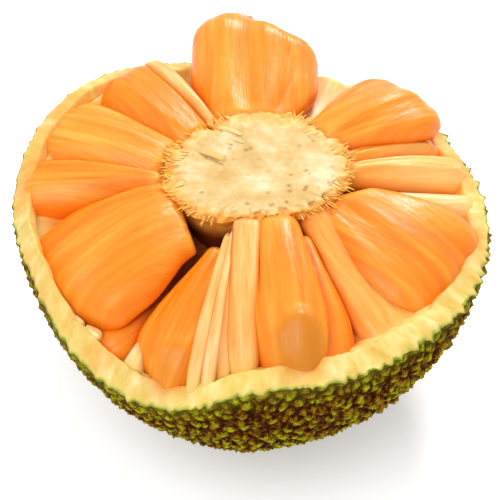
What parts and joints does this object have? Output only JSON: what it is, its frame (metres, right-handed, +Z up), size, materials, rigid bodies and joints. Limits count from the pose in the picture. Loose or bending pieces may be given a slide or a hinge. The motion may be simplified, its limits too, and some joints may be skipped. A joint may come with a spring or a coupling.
{
  "type": "half jackfruit",
  "caption": "Half of a ripe jackfruit, opened, with orange bulbs standing round the cut core in a bowl of spiked rind.",
  "frame": {"origin": "middle of the small flat spot on the underside that the half rests on", "axes": "+Z up out of the cut face, +X across to the right, -Y towards the side where the cut face dips lowest, away from the tall bulb at the back"},
  "size_m": [0.2422, 0.2496, 0.1377],
  "materials": {
    "rind": "matte, olive green spikes with brown valleys",
    "rag": "moist, pale yellow, fibrous",
    "core": "cream, porous, with small brown dots",
    "bulb": "wet, waxy orange flesh, fibres along it"
  },
  "bodies": {
    "root": {"rind": "rind", "rag_bed": "rag", "core": "core", "bulb_back": "bulb", "bulb_back_left": "bulb", "bulb_left_upper": "bulb", "bulb_left": "bulb", "bulb_left_lower": "bulb", "bulb_lower_tip": "bulb", "bulb_front_left": "bulb", "bulb_front": "bulb", "bulb_front_right": "bulb", "bulb_right_lower": "bulb", "bulb_right_strap": "bulb", "bulb_right": "bulb", "bulb_back_right": "bulb", "rag_back_left": "rag", "rag_front_left": "rag", "rag_front_slim": "rag", "rag_front_middle": "rag", "rag_front": "rag", "rag_right_front": "rag"}
  },
  "joints": []
}
